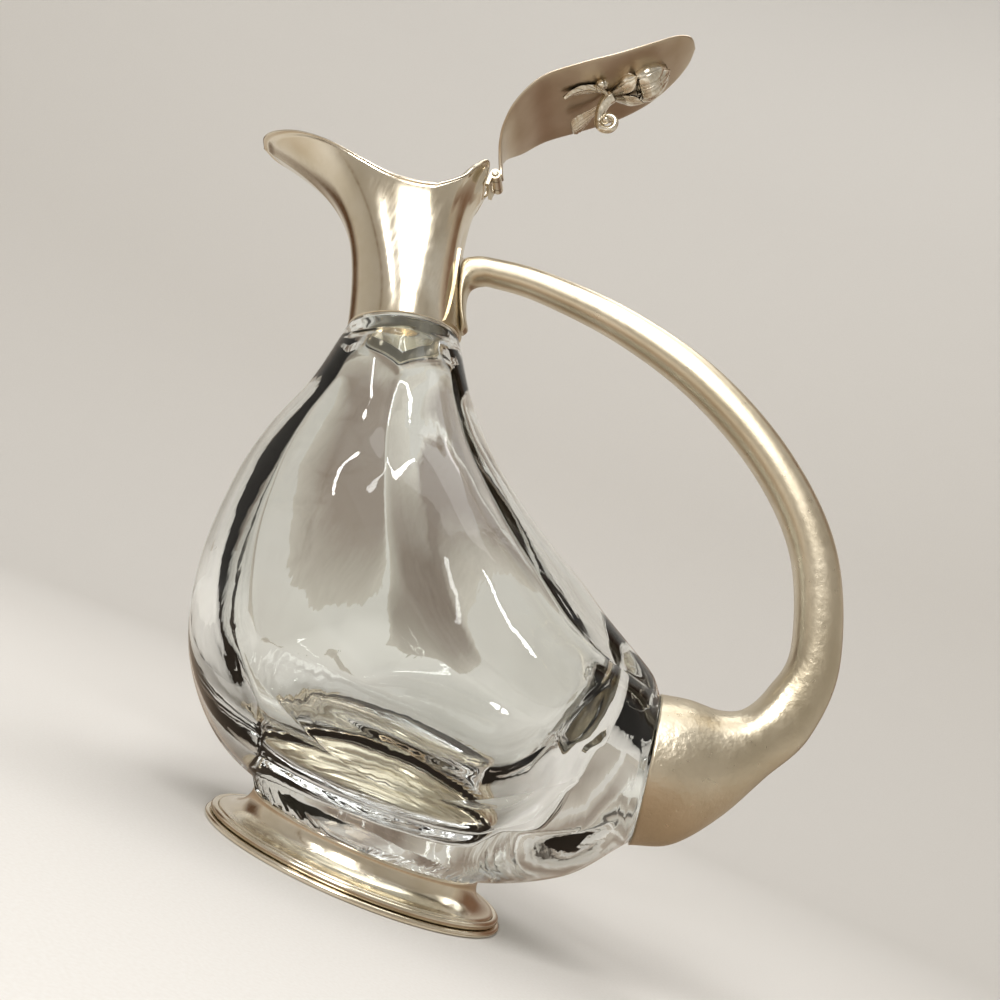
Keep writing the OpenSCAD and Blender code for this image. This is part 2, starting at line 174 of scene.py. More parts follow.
def curve(rows, per_row):
    """Smooth curve through the rows, with per_row samples to a row."""
    p = np.array(rows, float)
    p = np.vstack([2 * p[0] - p[1], p, 2 * p[-1] - p[-2]])
    s = np.linspace(0, len(rows) - 1, per_row * (len(rows) - 1) + 1)
    i = np.minimum(s.astype(int), len(rows) - 2)
    u = (s - i)[:, None]
    a, b, c, d = p[i], p[i + 1], p[i + 2], p[i + 3]
    return 0.5 * (
        2 * b + (c - a) * u + (2 * a - 5 * b + 4 * c - d) * u**2 + (3 * b - a - 3 * c + d) * u**3
    )


def at(rows, s):
    """The smooth curve through the rows at each s, counted in rows."""
    per_row = 60
    fine = curve(rows, per_row)
    grid = np.arange(len(fine)) / per_row
    return np.stack([np.interp(s, grid, fine[:, k]) for k in range(fine.shape[1])], -1)


def signed_power(v, e):
    return np.sign(v) * np.abs(v) ** e


def skin(name, rings, ends="caps", material=None, recess=None):
    """Mesh piece over rings of equally many points, given in millimetres. Recess says how deep
    each point lies in a groove, from 0 to 1."""
    count, n = len(rings), len(rings[0])
    verts = np.concatenate(rings) * MM
    bands = count if ends == "loop" else count - 1
    faces = []
    for i in range(bands):
        a, b = i * n, (i + 1) % count * n
        faces += [(a + k, a + (k + 1) % n, b + (k + 1) % n, b + k) for k in range(n)]
    if ends == "caps":
        faces += [tuple(range(n)), tuple(range((count - 1) * n, count * n))]
    return piece(name, verts, faces, material, recess)


def piece(name, verts, faces, material, recess=None):
    """Smooth-shaded object at the origin with its faces outwards."""
    mesh = bpy.data.meshes.new(name)
    mesh.from_pydata([tuple(v) for v in verts], [], faces)
    if recess is not None:
        depth = mesh.attributes.new("recess", "FLOAT", "POINT")
        depth.data.foreach_set("value", np.concatenate(recess))
    work = bmesh.new()
    work.from_mesh(mesh)
    bmesh.ops.remove_doubles(work, verts=work.verts, dist=1e-6)
    bmesh.ops.recalc_face_normals(work, faces=work.faces)
    work.to_mesh(mesh)
    work.free()
    mesh.shade_smooth()
    if material:
        mesh.materials.append(material)
    made = bpy.data.objects.new(name, mesh)
    bpy.context.scene.collection.objects.link(made)
    return made


def join(name, objects):
    """One piece from several, which are used up."""
    verts, faces, recess = [], [], []
    for o in objects:
        base = sum(len(v) for v in verts)
        verts.append(np.array([v.co for v in o.data.vertices]))
        faces += [tuple(base + i for i in p.vertices) for p in o.data.polygons]
        recess.append([d.value for d in o.data.attributes["recess"].data])
    made = piece(name, np.concatenate(verts), faces, objects[0].data.materials[0], recess)
    for o in objects:
        bpy.data.objects.remove(o)
    return made


def new_tree(name, inputs):
    """Geometry node tree with a geometry input and the named size inputs."""
    tree = bpy.data.node_groups.new(name, "GeometryNodeTree")
    tree.interface.new_socket("Start", in_out="INPUT", socket_type="NodeSocketGeometry")
    for label, kind in inputs.items():
        tree.interface.new_socket(label, in_out="INPUT", socket_type="NodeSocket" + kind)
    tree.interface.new_socket("Result", in_out="OUTPUT", socket_type="NodeSocketGeometry")
    return tree, tree.nodes.new("NodeGroupInput").outputs


def finish_tree(tree, shape, values):
    """Ends a tree with real geometry in the Material input's material."""
    real = add(tree, "GeometryNodeRealizeInstances", links={"Geometry": shape})
    soft = add(tree, "GeometryNodeSetShadeSmooth", links={"Geometry": real.outputs[0]})
    clad = add(
        tree,
        "GeometryNodeSetMaterial",
        links={"Geometry": soft.outputs[0], "Material": values["Material"]},
    )
    add(tree, "NodeGroupOutput", links={"Result": clad.outputs[0]})
    return tree


def grow(name, start, tree, values):
    """Plain mesh object that the tree makes from the start object, which is used up."""
    maker = start.modifiers.new("grow", "NODES")
    maker.node_group = tree
    for socket in tree.interface.items_tree:
        if socket.name in values:
            maker[socket.identifier] = values[socket.name]
    graph = bpy.context.evaluated_depsgraph_get()
    mesh = bpy.data.meshes.new_from_object(start.evaluated_get(graph), depsgraph=graph)
    mesh.name = name
    start.modifiers.remove(maker)
    bpy.data.objects.remove(start)
    made = bpy.data.objects.new(name, mesh)
    bpy.context.scene.collection.objects.link(made)
    return made


def swing_open(made):
    """Turns a piece of the closed lid to where the photograph has it."""
    pivot = Matrix.Translation(HINGE * MM)
    turn = Matrix.Rotation(math.radians(OPEN_ANGLE), 4, "Y")
    made.data.transform(pivot @ turn @ pivot.inverted())
    return made


# ---- materials -----------------------------------------------------------------------------


def srgb(code):
    """Linear colour of an sRGB hex value."""
    parts = [int(code[i : i + 2], 16) / 255 for i in (1, 3, 5)]
    return [c / 12.92 if c < 0.04045 else ((c + 0.055) / 1.055) ** 2.4 for c in parts] + [1]


def add(tree, kind, settings=None, links=None):
    """Adds a node. Settings name its properties or inputs; links give the sockets that feed it."""
    node = tree.nodes.new(kind)
    for key, value in (settings or {}).items():
        if isinstance(key, str) and hasattr(node, key):
            setattr(node, key, value)
        else:
            node.inputs[key].default_value = value
    for key, source in (links or {}).items():
        tree.links.new(source, node.inputs[key])
    return node


def new_material(name):
    """Empty material with its output node and the Object coordinates."""
    made = bpy.data.materials.new(name)
    made.use_nodes = True
    tree = made.node_tree
    tree.nodes.clear()
    out = tree.nodes.new("ShaderNodeOutputMaterial")
    place = tree.nodes.new("ShaderNodeTexCoord").outputs["Object"]
    return made, tree, out, place


def blend_colours(tree, factor, low, high, light, dark):
    """Colour that goes from light to dark as the factor goes from low to high."""
    ramp = add(tree, "ShaderNodeValToRGB", links={"Fac": factor})
    ramp.color_ramp.elements[0].position = low
    ramp.color_ramp.elements[0].color = srgb(light)
    ramp.color_ramp.elements[1].position = high
    ramp.color_ramp.elements[1].color = srgb(dark)
    return ramp.outputs["Color"]


def silver(name, light, dark, rough, scratch, dents):
    """Silver plate. Wipe marks run in parallel streaks about 1 mm wide and 11 mm long, with finer
    ones in them, and the sheet has the shallow waves that planishing leaves, about 15 mm from one
    to the next."""
    made, tree, out, place = new_material(name)
    clouds = add(tree, "ShaderNodeTexNoise", {"Scale": 45.0, "Detail": 3.0}, {"Vector": place})
    colour = blend_colours(tree, clouds.outputs["Fac"], 0.35, 0.75, light, dark)
    streaks = add(tree, "ShaderNodeMapping", {"Scale": (900, 900, 90)}, {"Vector": place})
    streaks.inputs["Rotation"].default_value = (0.3, 0.5, 0.2)
    wipes = add(
        tree, "ShaderNodeTexNoise", {"Scale": 1.0, "Detail": 4.0}, {"Vector": streaks.outputs[0]}
    )
    haze = add(
        tree,
        "ShaderNodeMapRange",
        {"From Min": 0.35, "From Max": 0.8, "To Min": rough, "To Max": rough + scratch},
        {"Value": wipes.outputs["Fac"]},
    )
    waves = add(tree, "ShaderNodeTexNoise", {"Scale": 65.0, "Detail": 1.0}, {"Vector": place})
    dented = add(
        tree,
        "ShaderNodeBump",
        {"Strength": 1.0, "Distance": dents},
        {"Height": waves.outputs["Fac"]},
    )
    grain = add(
        tree,
        "ShaderNodeBump",
        {"Strength": 0.12, "Distance": 0.00002},
        {"Height": wipes.outputs["Fac"], "Normal": dented.outputs["Normal"]},
    )
    shader = add(
        tree,
        "ShaderNodeBsdfPrincipled",
        {"Metallic": 1.0},
        {"Base Color": colour, "Roughness": haze.outputs[0], "Normal": grain.outputs["Normal"]},
    )
    tree.links.new(shader.outputs[0], out.inputs["Surface"])
    return made


def satin_silver(name):
    """Silver plate bobbed to a satin, as on the stamped handle: soft gloss and a fine grain of
    about 0.5 mm. The socket has small pits and an uneven worked face, 2 mm from mark to mark, which
    fades out up the handle."""
    made, tree, out, place = new_material(name)
    clouds = add(tree, "ShaderNodeTexNoise", {"Scale": 30.0, "Detail": 5.0}, {"Vector": place})
    colour = blend_colours(tree, clouds.outputs["Fac"], 0.3, 0.8, "#DBD0BA", "#B8AB90")
    grain = add(tree, "ShaderNodeTexNoise", {"Scale": 1900.0, "Detail": 3.0}, {"Vector": place})
    blotches = add(tree, "ShaderNodeTexNoise", {"Scale": 260.0, "Detail": 6.0}, {"Vector": place})
    haze = add(
        tree,
        "ShaderNodeMapRange",
        {"From Min": 0.3, "From Max": 0.7, "To Min": 0.27, "To Max": 0.37},
        {"Value": blotches.outputs["Fac"]},
    )
    pits = add(tree, "ShaderNodeTexVoronoi", {"Scale": 520.0, "Randomness": 1.0}, {"Vector": place})
    pit = add(
        tree,
        "ShaderNodeMapRange",
        {"From Min": 0.0, "From Max": 0.25, "To Min": -1.0, "To Max": 0.0},
        {"Value": pits.outputs["Distance"]},
    )
    height = add(tree, "ShaderNodeSeparateXYZ", links={"Vector": place})
    low_down = add(
        tree,
        "ShaderNodeMapRange",
        {"From Min": 0.055, "From Max": 0.095, "To Min": 1.0, "To Max": 0.0},
        {"Value": height.outputs["Z"]},
    )
    sparse = add(
        tree,
        "ShaderNodeMapRange",
        {"From Min": 0.52, "From Max": 0.6, "To Min": 0.0, "To Max": 1.0},
        {"Value": blotches.outputs["Fac"]},
    )
    where = add(
        tree,
        "ShaderNodeMath",
        {"operation": "MULTIPLY"},
        {0: low_down.outputs[0], 1: sparse.outputs[0]},
    )
    depth = add(
        tree, "ShaderNodeMath", {"operation": "MULTIPLY"}, {0: pit.outputs[0], 1: where.outputs[0]}
    )
    pitted = add(
        tree, "ShaderNodeBump", {"Strength": 0.7, "Distance": 0.00025}, {"Height": depth.outputs[0]}
    )
    satin = add(
        tree,
        "ShaderNodeBump",
        {"Strength": 0.25, "Distance": 0.00004},
        {"Height": grain.outputs["Fac"], "Normal": pitted.outputs["Normal"]},
    )
    worked = add(tree, "ShaderNodeTexNoise", {"Scale": 480.0, "Detail": 4.0}, {"Vector": place})
    amount = add(
        tree,
        "ShaderNodeMapRange",
        {"From Min": 0.09, "From Max": 0.19, "To Min": 0.7, "To Max": 0.12},
        {"Value": height.outputs["Z"]},
    )
    uneven = add(
        tree,
        "ShaderNodeBump",
        {"Distance": 0.0003},
        {
            "Strength": amount.outputs[0],
            "Height": worked.outputs["Fac"],
            "Normal": satin.outputs["Normal"],
        },
    )
    shader = add(
        tree,
        "ShaderNodeBsdfPrincipled",
        {"Metallic": 1.0},
        {"Base Color": colour, "Roughness": haze.outputs[0], "Normal": uneven.outputs["Normal"]},
    )
    tree.links.new(shader.outputs[0], out.inputs["Surface"])
    return made


def chased_silver(name):
    """Cast silver ornament, chased and wiped clean: bright on top, with dark oxide left in the
    grooves, and a grain of about 1 mm from the casting."""
    made, tree, out, place = new_material(name)
    grain = add(tree, "ShaderNodeTexNoise", {"Scale": 900.0, "Detail": 4.0}, {"Vector": place})
    bright = blend_colours(tree, grain.outputs["Fac"], 0.3, 0.75, "#F2ECDE", "#D2C7AF")
    groove = add(tree, "ShaderNodeAttribute", {"attribute_name": "recess"})
    oxide = add(tree, "ShaderNodeMix", {"data_type": "RGBA"}, {0: groove.outputs["Fac"], 6: bright})
    oxide.inputs[7].default_value = srgb("#4A3C2C")
    haze = add(
        tree,
        "ShaderNodeMapRange",
        {"From Min": 0.3, "From Max": 0.8, "To Min": 0.14, "To Max": 0.3},
        {"Value": grain.outputs["Fac"]},
    )
    bumps = add(
        tree,
        "ShaderNodeBump",
        {"Strength": 0.4, "Distance": 0.0001},
        {"Height": grain.outputs["Fac"]},
    )
    shader = add(
        tree,
        "ShaderNodeBsdfPrincipled",
        {"Metallic": 1.0},
        {
            "Base Color": oxide.outputs[2],
            "Roughness": haze.outputs[0],
            "Normal": bumps.outputs["Normal"],
        },
    )
    tree.links.new(shader.outputs[0], out.inputs["Surface"])
    return made


def blown_glass(name):
    """Clear lead glass, blown and tooled hot: it has slow waves about 25 mm across and finer
    cords, 4 mm apart, which bend what is seen through it."""
    made, tree, out, place = new_material(name)
    tint = add(tree, "ShaderNodeTexNoise", {"Scale": 20.0, "Detail": 2.0}, {"Vector": place})
    colour = blend_colours(tree, tint.outputs["Fac"], 0.2, 0.8, "#FDFEFD", "#F6F9F6")
    waves = add(tree, "ShaderNodeTexNoise", {"Scale": 38.0, "Detail": 1.5}, {"Vector": place})
    slow = add(
        tree,
        "ShaderNodeBump",
        {"Strength": 1.0, "Distance": 0.0005},
        {"Height": waves.outputs["Fac"]},
    )
    drawn = add(tree, "ShaderNodeMapping", {"Scale": (260, 260, 60)}, {"Vector": place})
    cords = add(
        tree, "ShaderNodeTexNoise", {"Scale": 1.0, "Detail": 2.0}, {"Vector": drawn.outputs[0]}
    )
    fine = add(
        tree,
        "ShaderNodeBump",
        {"Strength": 0.5, "Distance": 0.00006},
        {"Height": cords.outputs["Fac"], "Normal": slow.outputs["Normal"]},
    )
    shader = add(
        tree,
        "ShaderNodeBsdfPrincipled",
        {"Transmission Weight": 1.0, "IOR": 1.52, "Roughness": 0.0},
        {"Base Color": colour, "Normal": fine.outputs["Normal"]},
    )
    tree.links.new(shader.outputs[0], out.inputs["Surface"])
    return made


def plaster(name):
    """Plaster of Paris: chalky, with a grain of about 0.4 mm."""
    made, tree, out, place = new_material(name)
    grains = add(tree, "ShaderNodeTexNoise", {"Scale": 2400.0, "Detail": 4.0}, {"Vector": place})
    colour = blend_colours(tree, grains.outputs["Fac"], 0.3, 0.7, "#E2DDD0", "#C9C2B2")
    bumps = add(
        tree,
        "ShaderNodeBump",
        {"Strength": 0.5, "Distance": 0.0001},
        {"Height": grains.outputs["Fac"]},
    )
    shader = add(
        tree,
        "ShaderNodeBsdfPrincipled",
        {"Roughness": 0.9},
        {"Base Color": colour, "Normal": bumps.outputs["Normal"]},
    )
    tree.links.new(shader.outputs[0], out.inputs["Surface"])
    return made


# Light and dark tone, roughness, what the wipe marks add to it, and the waves' height in metres
POLISHED = silver("polished_silver_plate", "#E9E0CE", "#D2C5AC", 0.13, 0.12, 0.00006)
# The lid's silver is a darker, browner copy of the neck's: painted brown reflection and shade, with
# a rougher finish
LID_SILVER = silver("lid_silver_plate", "#D3C6B2", "#BCAA90", 0.33, 0.05, 0.00004)
PIN_SILVER = silver("drawn_silver_pin", "#D8D0C0", "#B5AC9B", 0.2, 0.1, 0.0)
SATIN = satin_silver("satin_silver_plate")
CHASED = chased_silver("chased_cast_silver")
GLASS_MATERIAL = blown_glass("clear_blown_glass")
PLASTER = plaster("plaster_of_paris")


# ---- glass ---------------------------------------------------------------------------------


def valley(a, under):
    """Depth between the ribs at an angle in degrees, 0 on a rib and 1 in a valley. Under is how
    many times as deep the valleys are underneath."""
    wave = np.sin(np.radians(LOBES / 2 * (a - LOBE_TURN)))
    depth = 1 - np.sqrt(wave**2 + 0.01)
    return np.maximum(depth, 0) * np.interp(np.abs(180 - a), [8, 45], [under, 1])


def bubble_ring(r, depth, sides, under=0.2):
    """Ring of the bubble through one row of a table, with the valleys cut in to the depth."""
    a = np.arange(sides) * 360 / sides
    f = 1 - depth * valley(a, under)
    c, s = np.cos(np.radians(a)) * f, np.sin(np.radians(a)) * f
    mid_x, mid_z = (r[0] + r[2]) / 2, (r[1] + r[3]) / 2
    return np.stack([mid_x + (r[2] - mid_x) * c, -r[4] * s, mid_z + (r[3] - mid_z) * c], -1)


def on_heel(ring):
    """Brings the low points down to the heel that fits the foot, pushed up in its middle."""
    softness, push_r, push_up = 3.0, 37, 3.4
    ripple_height, ripple_pace, upper_half = 0.5, 0.9, 60
    r = np.hypot(ring[:, 0], ring[:, 1])
    heel = SEAT_Z + HEEL_RISE * np.maximum(0, r - HEEL_R)
    gap = ring[:, 2] - heel
    soft = heel + (gap - np.sqrt(gap**2 + softness**2)) / 2 + softness / 2
    inside = np.clip(1 - r / push_r, 0, 1)
    ripple = ripple_height * np.sin(r * ripple_pace) * np.sqrt(inside)
    pushed_up = SEAT_Z + push_up * inside * (2 - inside) + ripple * (inside > 0)
    low = np.where(r < HEEL_R, pushed_up, np.clip(soft, SEAT_Z, ring[:, 2]))
    ring = ring.copy()
    ring[:, 2] = np.where(ring[:, 2] > upper_half, ring[:, 2], low)
    return ring


def circle(centre, across, up, radius, sides):
    """Ring of points round centre, from the direction up through the direction across."""
    a = np.arange(sides) * 2 * math.pi / sides
    return centre + radius * (np.cos(a)[:, None] * up + np.sin(a)[:, None] * across)


def make_glass():
    """Glass body in one skin: the peg, the outside up to the neck's rim, and down the hollow."""
    sides, outer_steps, inner_steps = 384, 14, 7
    across = np.array([0, -1, 0])
    tail_axis = np.array([math.cos(TAIL_TILT), 0, math.sin(TAIL_TILT)])
    tail_up = np.array([-math.sin(TAIL_TILT), 0, math.cos(TAIL_TILT)])
    neck_axis = np.array([-math.sin(LEAN), 0, math.cos(LEAN)])
    neck_up = np.array([math.cos(LEAN), 0, math.sin(LEAN)])

    outer = curve(GLASS, outer_steps)[::-1]
    share = np.linspace(1, 0, len(outer))
    # the valleys start short of the collar, reach their depth soon and run out to the socket
    start, run_in, run_out = 0.045, 0.07, 0.3
    depths = LOBE_DEPTH * np.clip((share - start) / run_in, 0, 1)
    depths *= np.clip((1 - share) / run_out, 0, 1)
    rings = [circle(TAIL + h * tail_axis, across, tail_up, r, sides) for h, r in TAIL_PEG]
    rings += [on_heel(bubble_ring(r, d, sides)) for r, d in zip(outer, depths)]
    rings += [circle(NECK + h * neck_axis, across, neck_up, r, sides) for h, r in NECK_RIM]

    inner = curve(CAVITY[:1] + BORE_END + CAVITY[1:], inner_steps)
    row = np.arange(len(inner)) / inner_steps
    # inside, the valleys are shallow and start lower, and get deeper underneath near the tail
    inner_share, tail_under = 0.2, 5
    inner_depths = inner_share * LOBE_DEPTH * np.clip(row / 2 - 2, 0, 1)
    unders = 1 + (tail_under - 1) * np.clip(row / 3 - 2, 0, 1)
    rings += [bubble_ring(r, d, sides, u) for r, d, u in zip(inner, inner_depths, unders)]

    # the hollow's end is rounded off
    last = rings[-1]
    centre = last.mean(0)
    outward = np.array([5, 0, 0.8])
    for shrink, push in ((0.85, 0.25), (0.6, 0.4), (0.3, 0.48), (0.05, 0.5)):
        rings.append(centre + (last - centre) * shrink + push * outward)
    return skin("blown_glass", rings, material=GLASS_MATERIAL)


glass = make_glass()
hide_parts("glass_body")
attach(glass, "jug")


# ---- foot ----------------------------------------------------------------------------------


def wire_tree():
    """Round wire along a path, as thick as the path's own radius says."""
    tree, given = new_tree("round_wire", {"Sides": "Int", "Material": "Material"})
    path = add(tree, "GeometryNodeMeshToCurve", links={0: given["Start"]})
    radius = add(tree, "GeometryNodeInputNamedAttribute", {"data_type": "FLOAT", "Name": "radius"})
    section = add(
        tree, "GeometryNodeCurvePrimitiveCircle", {"Radius": 1.0}, {"Resolution": given["Sides"]}
    )
    wire = add(
        tree,
        "GeometryNodeCurveToMesh",
        {"Fill Caps": True},
        {
            "Curve": path.outputs[0],
            "Profile Curve": section.outputs[0],
            "Scale": radius.outputs["Attribute"],
        },
    )
    return finish_tree(tree, wire.outputs[0], given)


WIRE = wire_tree()


def sweep(name, path, radii, closed, material):
    """Round wire through the path's points, in millimetres."""
    count = len(path)
    edges = [(i, (i + 1) % count) for i in range(count if closed else count - 1)]
    mesh = bpy.data.meshes.new(name + "_path")
    mesh.from_pydata([tuple(v) for v in path * MM], edges, [])
    radius = mesh.attributes.new("radius", "FLOAT", "POINT")
    radius.data.foreach_set("value", radii * MM)
    start = bpy.data.objects.new(name + "_path", mesh)
    bpy.context.scene.collection.objects.link(start)
    return grow(name, start, WIRE, {"Sides": 24, "Material": material})


def turned(name, profile, material, sides=256):
    """Ring turned on a lathe: the closed profile's radii and heights, in millimetres."""
    a = np.arange(sides) * 2 * math.pi / sides
    rings = [np.stack([r * np.cos(a), r * np.sin(a), np.full(sides, z)], -1) for r, z in profile]
    return skin(name, rings, "loop", material)


def foot_pieces():
    """Base ring, raised shell and the bead wire between them, from the ground up."""
    sides = 256
    ring_h, foot_r, plate_r = 1.9, 56, 50
    bead_d, bead_inset, step_h = 2.5, 1.2, 2.7
    seat_r, flare_r, lip_w = 43.4, 7.6, 5.4
    eased = 0.3
    bead_r = foot_r - bead_inset - bead_d / 2
    step_r, step_z = bead_r - bead_d / 2, ring_h + step_h
    lip_r = seat_r - lip_w
    edge = ring_h / 2

    arc = np.radians(np.linspace(-90, 90, 13))
    ring = [(plate_r, 0.0)]
    ring += [(foot_r - edge + edge * math.cos(a), edge + edge * math.sin(a)) for a in arc]
    ring += [(plate_r, ring_h)]

    def flare(inset):
        """Sweep of the shell from the step to the seat."""
        r = flare_r + inset
        turns = np.radians(np.linspace(0, 90, 25))
        return [
            (seat_r + flare_r - r * math.sin(a), step_z + flare_r - r * math.cos(a)) for a in turns
        ]

    shell = [(step_r, ring_h), (step_r, step_z - eased), (step_r - eased, step_z)]
    shell += flare(0)
    shell += [(seat_r, SEAT_Z - eased), (seat_r - eased, SEAT_Z)]
    shell += [(lip_r, SEAT_Z), (lip_r, SEAT_Z - SHEET), (seat_r - SHEET, SEAT_Z - SHEET)]
    shell += flare(SHEET)[::-1]
    shell += [(step_r - SHEET, step_z - SHEET), (step_r - SHEET, ring_h)]

    around = np.arange(sides) * 2 * math.pi / sides
    height = np.full(sides, ring_h + bead_d / 2)
    path = np.stack([bead_r * np.cos(around), bead_r * np.sin(around), height], -1)
    wire = sweep("foot_bead_wire", path, np.full(sides, bead_d / 2), True, POLISHED)
    return (
        turned("foot_base_ring", ring, POLISHED),
        turned("foot_raised_shell", shell, POLISHED),
        wire,
    )


def make_seat_dish():
    """Thin dished disc that closes the top of the foot, seen through the glass. It has a few
    shallow waves and stays under the heel's pushed-up middle."""
    dish_r, dome, thickness = 37.6, 2.2, 0.12
    edge_z, highest_z = SEAT_Z - 0.15, SEAT_Z + 2.3
    radii = np.linspace(0.2, dish_r, 60)
    height = edge_z + dome * (1 - (radii / dish_r) ** 2) + 0.25 * np.sin(radii * 0.75)
    top = list(zip(radii, np.minimum(height, highest_z)))
    under = [(r, z - thickness) for r, z in reversed(top)]
    return turned("foot_seat_dish", top + under, POLISHED, 128)


for made, node in zip(foot_pieces(), ("foot_ring", "foot_shell", "foot_bead")):
    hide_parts(node)
    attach(made, "jug")

dish = make_seat_dish()
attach(dish, "jug")


# ---- neck ----------------------------------------------------------------------------------


def mixed(back, side, front, a):
    """Value that goes smoothly from back to side to front as a goes from 0 to 90 to 180."""
    back, side, front = (np.array(v, float) for v in (back, side, front))
    even = (back + front) / 4 - side / 2
    c1, c2 = np.cos(np.radians(a))[:, None], np.cos(np.radians(2 * a))[:, None]
    return side + even + (back - front) / 2 * c1 + even * c2


def wall(a, t):
    """Points of the neck's outside at angles a, from the collar at t = 0 to the rim at t = 1."""
    up = np.array([math.cos(LEAN), 0, math.sin(LEAN)])
    across = np.array([0, -1, 0])
    c, s = np.cos(np.radians(a))[:, None], np.sin(np.radians(a))[:, None]
    low = NECK + COLLAR_R * (c * up + s * across)
    turn = np.mod(a, 360)
    side = np.where(turn > 180, 1, -1)
    rim = at(RIM, np.where(turn > 180, 360 - turn, turn) / 15)
    high = np.stack([rim[:, 0], side * np.maximum(0, rim[:, 2]), rim[:, 1]], -1)
    rise = mixed((-8.1, 0, 20), (-6.8, 0, 20.9), (-13.1, 0, 40.4), a)
    fall = mixed((-7.3, 0, -21.5), (5.5, 0, -16), (49, 0, -11.5), a)
    # the sides are drawn in a little below the rim
    fall[:, 1] += 3.5 * s[:, 0]
    b, c2 = low + rise, high + fall
    return (1 - t) ** 3 * low + 3 * t * (1 - t) ** 2 * b + 3 * t * t * (1 - t) * c2 + t**3 * high


def wall_normal(a, t):
    """Outward directions of the neck's outside."""
    round_it = wall(a + 1, t) - wall(a - 1, t)
    up_it = wall(a, min(1, t + 0.01)) - wall(a, max(0, t - 0.01))
    n = np.cross(up_it, round_it)
    return n / np.linalg.norm(n, axis=1)[:, None]


def unit_rise(a):
    """Directions in which the neck's outside comes up to the rim."""
    step = wall(a, 1) - wall(a, 0.98)
    return step / np.linalg.norm(step, axis=1)[:, None]


def lid_drop(points):
    """How far each point in front of the ears must come down to clear the closed lid."""
    ears_end = -72
    rows = curve(LID, 10)
    roof = np.interp(-points[:, 0], -rows[:, 0], rows[:, 1]) + LID_GAP / 2
    return np.where(points[:, 0] < ears_end, np.maximum(0, points[:, 2] - roof), 0)


def make_neck():
    """Neck, mouth and spout in one raised sheet with a rolled lip."""
    sides, drop_from, tuck_from = 288, 0.75, 0.965
    a = np.arange(sides) * 360 / sides
    n, rise = wall_normal(a, 1), unit_rise(a)
    centre = wall(a, 1) - LIP_R * (n + rise)
    drop = lid_drop(centre + (0, 0, LIP_R))
    down = np.stack([0 * a, 0 * a, -drop], -1)
    lip = [
        centre + down + LIP_R * (math.cos(q) * n + math.sin(q) * rise)
        for q in np.radians(np.linspace(-50, 230, 17))
    ]
    heights = np.concatenate([[0, 0.003, 0.01], np.linspace(0.03, 0.95, 44), [tuck_from, 0.975]])
    outer, inner = [], []
    for t in heights:
        base, n = wall(a, t), wall_normal(a, t)
        base += down * max(0, (t - drop_from) / (1 - drop_from)) ** 2
        # the wall draws in a little under the rolled lip, and its bottom edge is eased
        inset = 0.25 * (t < 0.002) + 35 * max(0, t - tuck_from)
        outer.append(base - inset * n)
        inner.append(base - SHEET * n)
    rings = outer + lip + inner[::-1]
    for ring in rings:
        ring[:, 2] -= lid_drop(ring)
    return skin("raised_silver_neck", rings, "loop", POLISHED)


neck = make_neck()
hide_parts("neck_mount")
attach(neck, "jug")


# ---- handle --------------------------------------------------------------------------------


def handle_ring(r, scale, squareness, sides):
    """Ring of the handle through one row of its table: a circle at 1, boxier below that."""
    a = np.arange(sides) * 2 * math.pi / sides
    c, s = signed_power(np.cos(a), squareness), signed_power(np.sin(a), squareness)
    mid_x, mid_z = (r[0] + r[2]) / 2, (r[1] + r[3]) / 2
    return np.stack(
        [
            mid_x + (r[2] - mid_x) * c * scale,
            r[4] * s * scale,
            mid_z + (r[3] - mid_z) * c * scale,
        ],
        -1,
    )


def make_handle():
    """Handle from its tongue to the socket, as one soldered piece."""
    sides, per_row = 96, 12
    socket_row, bend_row, boxy = 14, 15, 0.8
    rows = curve(HANDLE, per_row)
    places = np.arange(len(rows)) / per_row
    square = np.clip(boxy + 0.1 * (places - socket_row), boxy, 1)
    rings = [handle_ring(rows[0], k, boxy, sides) for k in (0.1, 0.6, 0.9)]
    rings += [handle_ring(r, 1, e, sides) for r, e in zip(rows, square)]
    # the socket is hollow as far as its bend
    bend = bend_row * per_row
    for r, e in list(zip(rows, square))[:bend:-1]:
        rings.append(handle_ring(r, 1 - SHEET / r[4], e, sides))
    rings += [handle_ring(rows[bend], k, 0.9, sides) for k in (0.8, 0.5, 0.1)]
    return skin("stamped_silver_handle", rings, material=SATIN)


handle = make_handle()
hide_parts("handle_near_half", "handle_far_half")
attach(handle, "jug")


# ---- lid -----------------------------------------------------------------------------------


def make_lid():
    """Lid plate with its stem: even in thickness, with softened edges."""
    sides, thinnest, eased = 64, 0.4, 0.5
    rounding, squareness = 0.6, 0.35
    rows = curve(LID, 10)
    run = np.gradient(rows[:, :2], axis=0)
    run /= np.linalg.norm(run, axis=1)[:, None]
    up = np.stack([run[:, 1], -run[:, 0]], -1)
    a = np.arange(sides) * 2 * math.pi / sides
    rings = []
    for r, u in zip(rows, up):
        half = max(thinnest, r[2])
        lie = LID_GAP + LID_T / 2 * (1 + signed_power(np.sin(a), rounding))
        reach = half - eased * (1 - signed_power(np.abs(np.cos(a)), 0.5)) * min(1, half)
        y = reach * signed_power(np.cos(a), squareness)
        rings.append(np.stack([r[0] + u[0] * lie, y, r[1] + u[1] * lie], -1))
    return swing_open(skin("silver_lid", rings, material=LID_SILVER))


lid = make_lid()
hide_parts("lid_plate")
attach(lid, "lid")


# ---- ornament on the lid -------------------------------------------------------------------

# All of it is made on the closed lid, sunk into the plate a little, and then swung open
SINK = 0.3
BUD_ROOT, BUD_LENGTH = -126.3, 17.8
BUD_WIDTH, BUD_HEIGHT = 8.6, 10
# The middle of the stalk's scroll, and where the berry sits in x and y
CURL = np.array([-110.6, 3, 265.9])
BERRY = (-113, -9)


